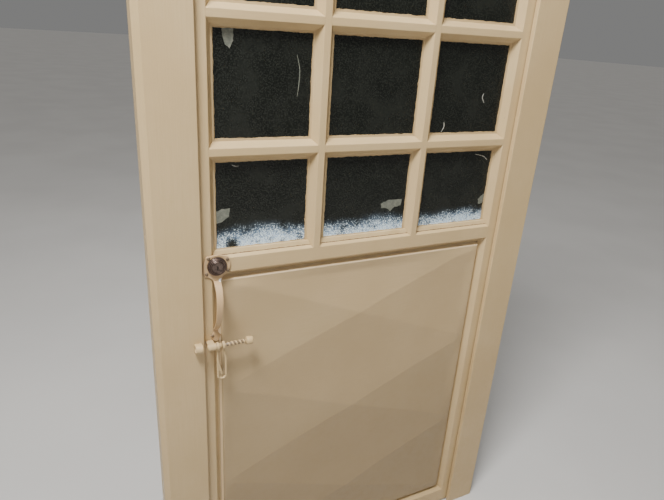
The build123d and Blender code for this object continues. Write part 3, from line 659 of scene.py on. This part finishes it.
def mesh_nodes(name):
    """A new geometry node group, with its first and last node."""
    group = bpy.data.node_groups.new(name, "GeometryNodeTree")
    for way in ("INPUT", "OUTPUT"):
        group.interface.new_socket(name="Geometry", in_out=way, socket_type="NodeSocketGeometry")
    return group, group.nodes.new("NodeGroupInput"), group.nodes.new("NodeGroupOutput")


def weld_group():
    """Geometry nodes that join the CAD faces into one closed skin."""
    name = "Weld faces"
    if name in bpy.data.node_groups:
        return bpy.data.node_groups[name]
    group, start, end = mesh_nodes(name)
    drop = group.nodes.new("GeometryNodeRemoveAttribute")
    drop.inputs["Name"].default_value = "custom_normal"
    merge = group.nodes.new("GeometryNodeMergeByDistance")
    reach = 0.00001
    merge.inputs["Distance"].default_value = reach
    chain = (start, drop, merge, end)
    for first, second in zip(chain, chain[1:]):
        group.links.new(first.outputs[0], second.inputs[0])
    return group


def lump_group(depth, size):
    """Geometry nodes that press shallow hollows into a skin."""
    group, start, end = mesh_nodes("Lumps")
    texture = group.nodes.new("ShaderNodeTexNoise")
    texture.inputs["Scale"].default_value = 1 / size
    fall = group.nodes.new("ShaderNodeMath")
    fall.operation = "MULTIPLY"
    fall.inputs[1].default_value = -depth
    push = group.nodes.new("ShaderNodeVectorMath")
    push.operation = "SCALE"
    move = group.nodes.new("GeometryNodeSetPosition")
    facing = group.nodes.new("GeometryNodeInputNormal")
    group.links.new(texture.outputs[0], fall.inputs[0])
    group.links.new(facing.outputs[0], push.inputs[0])
    group.links.new(fall.outputs[0], push.inputs["Scale"])
    group.links.new(start.outputs[0], move.inputs["Geometry"])
    group.links.new(push.outputs[0], move.inputs["Offset"])
    group.links.new(move.outputs[0], end.inputs[0])
    return group


def round_off(node, voxel, passes):
    """Rounds a CAD node's edges with modifiers, as paint and casting do."""
    s = bpy.context.scene.door_fittings
    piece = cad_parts[node]
    weld = piece.modifiers.new("Weld", "NODES")
    weld.node_group = weld_group()
    skin = piece.modifiers.new("Skin", "REMESH")
    skin.mode = "VOXEL"
    skin.voxel_size = voxel
    skin.use_smooth_shade = True
    soft = piece.modifiers.new("Soft", "SMOOTH")
    soft.factor = 0.5
    soft.iterations = passes
    lumps = piece.modifiers.new("Lumps", "NODES")
    lumps.node_group = lump_group(s.lump, s.lump_size)


def knob_profile(start, end, radius, rounding, steps=8):
    """Profile of a round head with rounded edges, from start to end along its axis."""
    turns = [math.pi / 2 * k / steps for k in range(steps + 1)]
    round_in = [(rounding * (1 - math.cos(a)), rounding * (1 - math.sin(a))) for a in turns]
    near = [(start + run, radius - drop) for run, drop in round_in]
    far = [(end - run, radius - drop) for drop, run in round_in]
    return near + far


def screw_head(centre, seat, outward, radius, turned):
    """A round slotted head seated at y = seat and standing out along y."""
    s = bpy.context.scene.door_fittings
    rings = 12
    around = 56
    fall = 0.94
    least = 0.0001
    points = [Vector((centre[0], seat + outward * s.screw_height, centre[1]))]
    faces = []
    for k in range(1, rings + 1):
        r = radius * k / rings
        dome = s.screw_height * math.sqrt(1 - fall * (k / rings) ** 2)
        for i in range(around):
            turn = 2 * math.pi * i / around
            x = r * math.cos(turn)
            z = r * math.sin(turn)
            across = abs(x * math.sin(turned) - z * math.cos(turned))
            cut = s.slot_depth if across < s.slot_width / 2 else 0.0
            out = outward * max(dome - cut, least)
            points.append(Vector((centre[0] + x, seat + out, centre[1] + z)))
    points[0].y -= outward * s.slot_depth
    for i in range(around):
        points.append(Vector((points[-around].x, seat, points[-around].z)))
    for i in range(around):
        j = (i + 1) % around
        faces.append((0, 1 + i, 1 + j))
        for k in range(rings):
            a = 1 + k * around
            b = a + around
            faces.append((a + i, b + i, b + j, a + j))
    faces.append(tuple(1 + rings * around + i for i in range(around)))
    return points, faces


def screws(node, body, outward, material, slot):
    """Round slotted heads in place of a CAD group of screws, each turned a little further."""
    s = bpy.context.scene.door_fittings
    parts = []
    for k, (low, high) in enumerate(solids_of(node)):
        centre = (low.x + high.x) / 2, (low.z + high.z) / 2
        tip = high.y if outward > 0 else low.y
        seat = tip - outward * s.screw_height
        turned = s.slot_first + s.slot_turn * k
        parts.append(screw_head(centre, seat, outward, (high.x - low.x) / 2, turned))
    piece = add_mesh(node + "_heads", *joined(parts))
    return dress(piece, material, slot, body, node)


# Pressed panel

def fold_lines(low, high, count, fold, depth, flange):
    """Grid lines across the sheet, each with how far it lies behind the flat."""
    inner = [(low + (high - low) * k / count, 0.0) for k in range(count + 1)]
    inner[0] = (low + fold, 0.0)
    inner[-1] = (high - fold, 0.0)
    turns = (math.pi / 6, math.pi / 3, math.pi / 2)
    turn = [(fold * (1 - math.sin(a)), fold * (1 - math.cos(a))) for a in turns]
    before = [(low + run, drop) for run, drop in turn] + [(low, depth), (low - flange, depth)]
    after = [(high - run, drop) for run, drop in turn] + [(high, depth), (high + flange, depth)]
    return list(reversed(before)) + inner + after, len(before)


def crease_height(u, v):
    """1 where creases cross, 0 in the middle of a cushion, with u and v counted in fields."""
    total = 0.0
    for t in (v - u, v + u):
        gap = abs(t - round(t))
        total += 0.5 * (1 - 2 * gap) ** 2
    return total


def panel_points(columns, rows, x0, x1, z0, z1):
    """Points of the sheet's front, creases standing forward."""
    s = bpy.context.scene.door_sheet
    field = (z1 - z0) / s.cells
    waves = 7
    points = []
    for z, back_z in rows:
        for x, back_x in columns:
            edge = min(x - x0, x1 - x, z - z0, z1 - z)
            t = min(1.0, max(0.0, edge / s.fade))
            fade = t * t * (3 - 2 * t)
            crease = crease_height((x - x0) / (x1 - x0), (z - z0) / field)
            rise = (crease - s.sunk) * s.relief * fade
            swell = s.wave * fade * noise.noise(Vector((x * waves, 0.3, z * waves)))
            points.append((x, s.setback + max(back_x, back_z) - rise + swell, z))
    return points


def panel_faces(columns, rows, skip, count, cells):
    """Quads, split along the creases where a crease crosses one."""
    faces = []
    for j in range(rows - 1):
        for i in range(columns - 1):
            a = j * columns + i
            b = a + 1
            c = b + columns
            d = a + columns
            u = i - skip
            v = j - skip
            inside = 0 <= u < count and 0 <= v < count * cells
            if inside and v % count == u:
                faces += [(a, b, c), (a, c, d)]
            elif inside and v % count + u == count - 1:
                faces += [(a, b, d), (b, c, d)]
            else:
                faces.append((a, b, c, d))
    return faces


def creased_panel():
    """The pressed sheet with its crossed creases, folded back all round."""
    s = bpy.context.scene.door_sheet
    low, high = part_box("pressed_panel")
    x0 = low.x + s.flange
    x1 = high.x - s.flange
    z0 = low.z + s.flange
    z1 = high.z - s.flange
    depth = s.seat - s.setback
    columns, skip = fold_lines(x0, x1, s.steps, s.fold, depth, s.flange)
    rows, _ = fold_lines(z0, z1, s.steps * s.cells, s.fold, depth, s.flange)
    points = panel_points(columns, rows, x0, x1, z0, z1)
    faces = panel_faces(len(columns), len(rows), skip, s.steps, s.cells)
    mesh = bpy.data.meshes.new("creased_panel")
    mesh.from_pydata(points, [], faces)
    mesh.polygons.foreach_set("use_smooth", [True] * len(faces))
    piece = placed("creased_panel", mesh)
    shell = piece.modifiers.new("Sheet", "SOLIDIFY")
    shell.thickness = s.sheet
    shell.offset = -1.0
    return piece


# Paint and smears on the glass

def aperture(row, column):
    """Open rectangle of one pane between the edges that hold it."""
    left = ("lock_stile", "left_upright_bar", "right_upright_bar")[column]
    right = ("left_upright_bar", "right_upright_bar", "hinge_stile")[column]
    below = "middle_rail" if row == 0 else f"left_cross_bar_{row}"
    above = "top_rail" if row == CROSS_BARS else f"left_cross_bar_{row + 1}"
    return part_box(left)[1].x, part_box(right)[0].x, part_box(below)[1].z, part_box(above)[0].z


def lip_ring(x0, x1, z0, z1, front, seed):
    """Ragged ring of paint that ran from the steel onto the glass."""
    s = bpy.context.scene.door_glass
    fall = 0.6
    finer = 2.1
    octaves = 4
    corners = [Vector((x0, z0)), Vector((x1, z0)), Vector((x1, z1)), Vector((x0, z1))]
    loops = [[], [], [], []]
    for side, start in enumerate(corners):
        end = corners[(side + 1) % len(corners)]
        span = (end - start).length
        ahead = (end - start) / span
        inward = Vector((-ahead.y, ahead.x))
        count = int(span / s.lip_step)
        for k in range(count):
            run = span * k / count
            place = start + ahead * run
            waves = Vector((place.x / s.lip_wave + seed, place.y / s.lip_wave, seed))
            ragged = noise.fractal(waves, fall, finer, octaves)
            width = max(s.lip_least, s.lip_mean + s.lip_spread * ragged)
            if min(run, span - run) < s.lip_corner:
                width = s.lip_mean
            inner_run = min(max(run, width), span - width)
            inner = start + ahead * inner_run + inward * width
            reach = width + s.lip_slope
            foot = start + ahead * min(max(run, reach), span - reach) + inward * reach
            top = front - s.lip_thickness
            ring = ((place, top), (inner, top), (foot, front), (place, front))
            for loop, (p, y) in zip(loops, ring):
                loop.append(Vector((p.x, y, p.y)))
    return [p for loop in loops for p in loop], ring_faces(4, len(loops[0]), closed=True)


def smear_patch(outline, front, seed):
    """A thin film with a wandering edge."""
    s = bpy.context.scene.door_glass
    cuts = 8
    waves = 160
    sway = 0.0016
    edge = []
    for k, (x, z) in enumerate(outline):
        next_x, next_z = outline[(k + 1) % len(outline)]
        for i in range(cuts):
            t = i / cuts
            spot = Vector((x + (next_x - x) * t, 0.0, z + (next_z - z) * t)) / 1000
            shake = noise.noise_vector(spot * waves + Vector((seed, 0, 0))) * sway
            edge.append(spot + Vector((shake.x, 0, shake.z)))
    count = len(edge)
    points = [Vector((p.x, front - s.film_thickness, p.z)) for p in edge]
    points += [Vector((p.x, front, p.z)) for p in edge]
    faces = [tuple(range(count)), tuple(reversed(range(count, 2 * count)))]
    faces += [(k, (k + 1) % count, count + (k + 1) % count, count + k) for k in range(count)]
    return points, faces


def smear_line(line, front, width):
    """A thin dried run of paint along a line of points in millimetres."""
    path = eased([Vector((x / 1000, front, z / 1000)) for x, z in line])
    last = len(path) - 1
    thin = 0.35
    radii = [width * (thin + (1 - thin) * math.sin(math.pi * k / last)) for k in range(last + 1)]
    return sweep(path, radii, (0, 1, 0), around=8, flatness=0.3)


# Places of the smears as (across, up) in millimetres
PATCHES = {
    "second_left": [(-350, 1471), (-328, 1472), (-328, 1451), (-335, 1436), (-344, 1443), (-350, 1457)],
    "bottom_left": [(-368, 1107), (-355, 1112), (-338, 1113), (-340, 1095), (-356, 1083), (-369, 1080)],
    "bottom_middle": [
        (42, 1092), (61, 1100), (102, 1100), (101, 1084), (81, 1081), (71, 1071), (58, 1080), (43, 1081),
    ],
    "bottom_right": [(349, 1081), (364, 1094), (368, 1093), (366, 1068), (352, 1067)],
}
RUNS = {
    "right_low": [(314, 1205), (342, 1199), (358, 1188)],
    "right_high": [(312, 1358), (309, 1347), (317, 1334)],
    "right_middle": [(200, 1289), (202, 1277), (195, 1264)],
    "left_low": [(-333, 1207), (-325, 1204), (-318, 1204)],
}
STREAK = [(-194, 1429), (-187, 1400), (-188, 1370), (-191, 1346)]


# Operators

class DressMembers(bpy.types.Operator):
    """Paint the jambs, head, stiles, rails and glazing bars"""

    bl_idname = "door.dress_members"
    bl_label = "Frame and leaf"

    def execute(self, context):
        s = context.scene.door_enamel
        upright = enamel("enamel_upright", "z", s.clean, s.aged)
        level = enamel("enamel_level", "x", s.clean, s.aged)
        for node in UPRIGHT_MEMBERS:
            paint_node(node, upright)
        bars = [f"{column}_cross_bar_{k + 1}" for column in COLUMNS for k in range(CROSS_BARS)]
        for node in (*LEVEL_MEMBERS, *bars, *PAINTED_FITTINGS):
            paint_node(node, level)
        paint_node("low_beads", bead_finish(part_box("low_beads")[0].z))
        paint_node("putty", putty_finish())
        return {"FINISHED"}


class DressPanel(bpy.types.Operator):
    """Build the pressed panel with its crossed creases"""

    bl_idname = "door.dress_panel"
    bl_label = "Pressed panel"

    def execute(self, context):
        s = context.scene.door_enamel
        sheet = context.scene.door_sheet
        # The panel takes the shaded copy of the paint, little corner shade, strong painted shade toward
        # its foot and a painted highlight on its top fold.
        fold = (sheet.setback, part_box("pressed_panel")[1].z - sheet.flange)
        finish = enamel("enamel_panel", "x", s.sheet_shaded_clean, s.sheet_shaded_aged, 0.05, 0.9, fold=fold)
        dress(creased_panel(), finish, "cream_enamel", "leaf", "pressed_panel")
        return {"FINISHED"}


class DressGlass(bpy.types.Operator):
    """Give the panes their pattern, paint edges and smears"""

    bl_idname = "door.dress_glass"
    bl_label = "Panes"

    def execute(self, context):
        scene = context.scene
        pattern = patterned_glass()
        for row in ROWS:
            for column in COLUMNS:
                paint_node(f"{row}_{column}_pane", pattern)
        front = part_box("bottom_left_pane")[0].y
        row_seed = 3.7
        column_seed = 11.3
        rings = []
        for row in range(len(ROWS)):
            for column in range(len(COLUMNS)):
                seed = row_seed * row + column_seed * column
                rings.append(lip_ring(*aperture(row, column), front, seed))
        edges = add_mesh("paint_edges", *joined(rings))
        s = scene.door_enamel
        dress(edges, enamel("enamel_edges", "x", s.clean, s.aged), "cream_enamel", "leaf")
        self.smears(scene.door_glass, front)
        return {"FINISHED"}

    def smears(self, s, front):
        """Pale patches and runs that stick to four panes, drawn the same at each run"""
        noise.seed_set(s.film_seed)
        patches = [smear_patch(outline, front, k) for k, outline in enumerate(PATCHES.values())]
        patches.append(smear_line(STREAK, front, s.streak_width))
        grey = film("old_film", s.film, s.film_light, 0.5)
        dress(add_mesh("pale_patches", *joined(patches), smooth=False), grey, "putty", "leaf")
        runs = [smear_line(line, front, s.run_width) for line in RUNS.values()]
        white = film("dried_paint", s.dried, s.dried_dull, 0.45)
        dress(add_mesh("paint_runs", *joined(runs)), white, "cream_enamel", "leaf")


class DressHandle(bpy.types.Operator):
    """Round off and paint the pull handle and its screws"""

    bl_idname = "door.dress_handle"
    bl_label = "Pull handle"

    def execute(self, context):
        scene = context.scene
        s = scene.door_enamel
        fittings = scene.door_fittings
        low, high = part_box("lock_collar")
        # The painted highlight sits below the rose, at the root of the handle's strap.
        root = Vector((high.x - fittings.glint_across, high.y, low.z - fittings.glint_down))
        paint_node("pull_handle", enamel("enamel_handle", "z", s.warm, s.warm_aged, painted_glint=root))
        round_off("pull_handle", fittings.voxel, 5)
        # The screw heads take darker brown paint, and the corner mask at full weight paints shade in their
        # slots and round their rims.
        rubbed = enamel("enamel_screws", "z", s.screw, s.grime_and_shade, 1.0, reach=0.003)
        screws("handle_screws", "leaf", -1, rubbed, "cream_enamel")
        return {"FINISHED"}


class DressRose(bpy.types.Operator):
    """Turn the bronze rose and colour the lock cylinder"""

    bl_idname = "door.dress_rose"
    bl_label = "Rose and cylinder"

    def execute(self, context):
        s = context.scene.door_fittings
        low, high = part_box("lock_collar")
        radius = (high.x - low.x) / 2
        height = high.y - low.y
        profile = [(0.0, s.rose_hole)]
        steps = 54
        for k in range(steps + 1):
            t = k / steps
            rise = height - (height - s.rose_rim) * t * t
            ring = s.rose_ring * (math.cos(2 * math.pi * s.rose_rings * t) - 1)
            profile.append((-(rise + ring), s.rose_hole + (radius - s.rose_hole) * t))
        profile.append((0.0, radius))
        centre = Vector(((low.x + high.x) / 2, high.y, (low.z + high.z) / 2))
        rose = add_mesh("turned_rose", *lathe(profile, centre, "y", 96, closed=True))
        rings = (Vector((centre.x, low.y, centre.z)), s.rose_hole, (radius - s.rose_hole) / s.rose_rings)
        finish = metal("aged_bronze", s.bronze, s.bronze_dull, 0.4, "z", 0.8, turned=rings)
        dress(rose, finish, "bronze", "leaf", "lock_collar")
        brass = metal("pink_brass", s.brass, s.brass_dull, 0.4, "z", 0.85, reach=0.009)
        for node in ("lock_cylinder", "cylinder_plug", "hinge_washers"):
            paint_node(node, brass)
        return {"FINISHED"}


class DressSlideBolt(bpy.types.Operator):
    """Turn the slide bolt and wind its wire"""

    bl_idname = "door.dress_slide_bolt"
    bl_label = "Slide bolt"

    def execute(self, context):
        s = context.scene.door_fittings
        e = context.scene.door_enamel
        low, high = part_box("slide_bolt")
        centre = Vector((low.x, (low.y + high.y) / 2, (low.z + high.z) / 2))
        neck = high.x - low.x - s.knob_length
        start = s.shank + s.winding_wire
        end = neck - s.winding_wire
        turned = self.rod(s, centre, neck, high.x - low.x, (high.z - low.z) / 2)
        piece = add_mesh("wound_bolt", *joined([turned, self.winding(s, centre, start, end)]))
        # Strong painted shade from the corner mask darkens the gaps along the bolt.
        paint = enamel("enamel_bolt", "x", e.clean, e.aged, 0.8, reach=0.0035)
        dress(piece, paint, "cream_enamel", "slide_bolt", "slide_bolt")
        # Painted shade: a thin dark brown skin on the core shows in the gaps between the turns, with the
        # corner mask at full weight.
        shade_radius = s.core_radius + s.shade_skin
        skin = [(start, s.core_radius), (start + s.shade_skin, shade_radius)]
        skin += [(end - s.shade_skin, shade_radius), (end, s.core_radius)]
        core = add_mesh("shaded_core", *lathe(skin, centre, "x", 40))
        brown = enamel("enamel_core_shade", "x", e.core, e.grime_and_shade, 1.0, reach=0.003)
        dress(core, brown, "cream_enamel", "slide_bolt")
        return {"FINISHED"}

    def rod(self, s, centre, neck, end, knob):
        """Plain end, thinner core and round head, turned in one"""
        rod = s.bolt_radius
        profile = [(0.0, rod - s.bolt_bevel), (s.bolt_bevel, rod), (s.shank, rod)]
        profile += [(s.shank + s.bolt_bevel, s.core_radius), (neck - s.bolt_bevel, s.core_radius)]
        profile += knob_profile(neck, end, knob, s.knob_round)
        return lathe(profile, centre, "x", 56)

    def winding(self, s, centre, start, end):
        """Wire wound round the core, thinned out at both ends"""
        turns = (end - start) / s.winding_pitch
        per_turn = 40
        steps = int(turns * per_turn)
        thin = 0.45
        growth = 0.12
        radius = s.bolt_radius - s.winding_wire
        path = []
        radii = []
        for k in range(steps + 1):
            turn = 2 * math.pi * turns * k / steps
            along = start + (end - start) * k / steps
            path.append(centre + Vector((along, radius * math.cos(turn), radius * math.sin(turn))))
            radii.append(s.winding_wire * min(1.0, thin + growth * min(k, steps - k)))
        return sweep(path, radii, (1, 0, 0), around=12)


class DressLink(bpy.types.Operator):
    """Round off the hanging link"""

    bl_idname = "door.dress_link"
    bl_label = "Hanging link"

    def execute(self, context):
        scene = context.scene
        s = scene.door_enamel
        # Painted shade from the corner mask, at half weight, darkens the link's tight places.
        paint_node("hanging_link", enamel("enamel_link", "z", s.clean, s.aged, 0.5, reach=0.005))
        round_off("hanging_link", scene.door_fittings.wire_voxel, 3)
        return {"FINISHED"}


class DressBack(bpy.types.Operator):
    """Finish the rim lock, bolts, strike box and hinge pins"""

    bl_idname = "door.dress_back"
    bl_label = "Rim lock and hinges"

    def execute(self, context):
        s = context.scene.door_fittings
        japan = metal("japanned_iron", s.japan, s.japan_dull, 0.38, "x", 0.25, 0.0009)
        for node in ("rim_lock_case", "strike_box", "thumb_turn", "latch_knob"):
            paint_node(node, japan)
        round_off("thumb_turn", s.voxel, 4)
        round_off("latch_knob", s.wire_voxel, 3)
        steel = metal("worn_steel", s.steel, s.steel_dull, 0.34)
        for node in ("dead_bolt", "latch_bolt", "hinge_pins"):
            paint_node(node, steel)
        screws("lock_screws", "leaf", 1, steel, "steel")
        screws("strike_screws", "frame", 1, steel, "steel")
        return {"FINISHED"}


class SetStage(bpy.types.Operator):
    """Lay the floor, hang the lamps and stand the camera where the photograph was taken"""

    bl_idname = "door.set_stage"
    bl_label = "Stage"

    def execute(self, context):
        scene = context.scene
        s = scene.door_stage
        self.floor(s)
        self.sky(scene, s)
        self.lamp("key", "AREA", s.key, s.key_place, s.key_target).size = s.key_size
        self.lamp("fill", "AREA", s.fill, s.fill_place, s.fill_target).size = s.fill_size
        self.lamp("behind", "AREA", s.fill, s.back_place, s.back_target).size = s.fill_size
        self.lamp("high_light", "SUN", s.high, s.high_place, (0.0, 0.0, 0.0)).angle = s.high_angle
        self.camera(scene, s)
        return {"FINISHED"}

    def floor(self, s):
        """Wide pale floor at the foot of the frame"""
        size = s.floor_size
        square = ((-size, -size), (size, -size), (size, size), (-size, size))
        corners = [(x, y, z) for z in (-s.floor_drop, 0.0) for x, y in square]
        faces = [(3, 2, 1, 0), (4, 5, 6, 7), (0, 1, 5, 4), (1, 2, 6, 5), (2, 3, 7, 6), (3, 0, 4, 7)]
        ground = add_mesh("floor", corners, faces, smooth=False)
        paint = Paintbox("floor_finish")
        tone = paint.blend(paint.band(paint.noise(1.3, 3.0), 0.3, 0.7), s.floor, s.floor_worn)
        paint.relief(paint.noise(40.0, 3.0), 0.0003)
        gloss = paint.band(paint.noise(3.0), 0.3, 0.7, 0.7, 0.8)
        ground.data.materials.append(paint.finish(tone, gloss))

    def sky(self, scene, s):
        """Even light from all sides"""
        scene.world = bpy.data.worlds.new("even_light")
        scene.world.use_nodes = True
        light = scene.world.node_tree.nodes["Background"]
        light.inputs["Color"].default_value = (*s.sky, 1.0)
        light.inputs["Strength"].default_value = s.sky_strength

    def lamp(self, name, kind, power, place, target):
        """A lamp at a place, turned to a target"""
        light = bpy.data.lights.new(name, kind)
        light.energy = power
        made = placed(name, light)
        made.location = place
        made.rotation_euler = (Vector(target) - Vector(place)).to_track_quat("-Z", "Y").to_euler()
        return light

    def camera(self, scene, s):
        """The photograph's own point of view"""
        data = bpy.data.cameras.new("camera")
        data.sensor_fit = "HORIZONTAL"
        data.sensor_width = s.sensor
        data.lens = s.lens
        ahead = Vector(s.forward).normalized()
        right = (Vector(s.right) - ahead * Vector(s.right).dot(ahead)).normalized()
        up = right.cross(ahead)
        turn = Matrix((right, up, -ahead)).transposed()
        scene.camera = placed("camera", data)
        scene.camera.matrix_world = Matrix.Translation(Vector(s.camera)) @ turn.to_4x4()


STEPS = (
    DressMembers, DressPanel, DressGlass, DressHandle, DressRose, DressSlideBolt, DressLink, DressBack,
    SetStage,
)


class DoorSidebar(bpy.types.Panel):
    """Lists the door's operators"""

    bl_idname = "DOOR_PT_sidebar"
    bl_label = "Door"
    bl_space_type = "VIEW_3D"
    bl_region_type = "UI"
    bl_category = "Door"

    def draw(self, context):
        for step in STEPS:
            self.layout.operator(step.bl_idname)


SETTINGS = {
    "door_enamel": EnamelSettings,
    "door_sheet": SheetSettings,
    "door_glass": GlassSettings,
    "door_fittings": FittingSettings,
    "door_stage": StageSettings,
}
CLASSES = (*SETTINGS.values(), *STEPS, DoorSidebar)


def register():
    for kind in CLASSES:
        bpy.utils.register_class(kind)
    for name, group in SETTINGS.items():
        setattr(bpy.types.Scene, name, PointerProperty(type=group))


def unregister():
    for name in SETTINGS:
        delattr(bpy.types.Scene, name)
    for kind in reversed(CLASSES):
        bpy.utils.unregister_class(kind)


def main():
    """Registers the add-on and runs its steps in order."""
    register()
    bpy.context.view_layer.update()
    for step in STEPS:
        group, name = step.bl_idname.split(".")
        getattr(getattr(bpy.ops, group), name)()


if __name__ == "__main__":
    main()
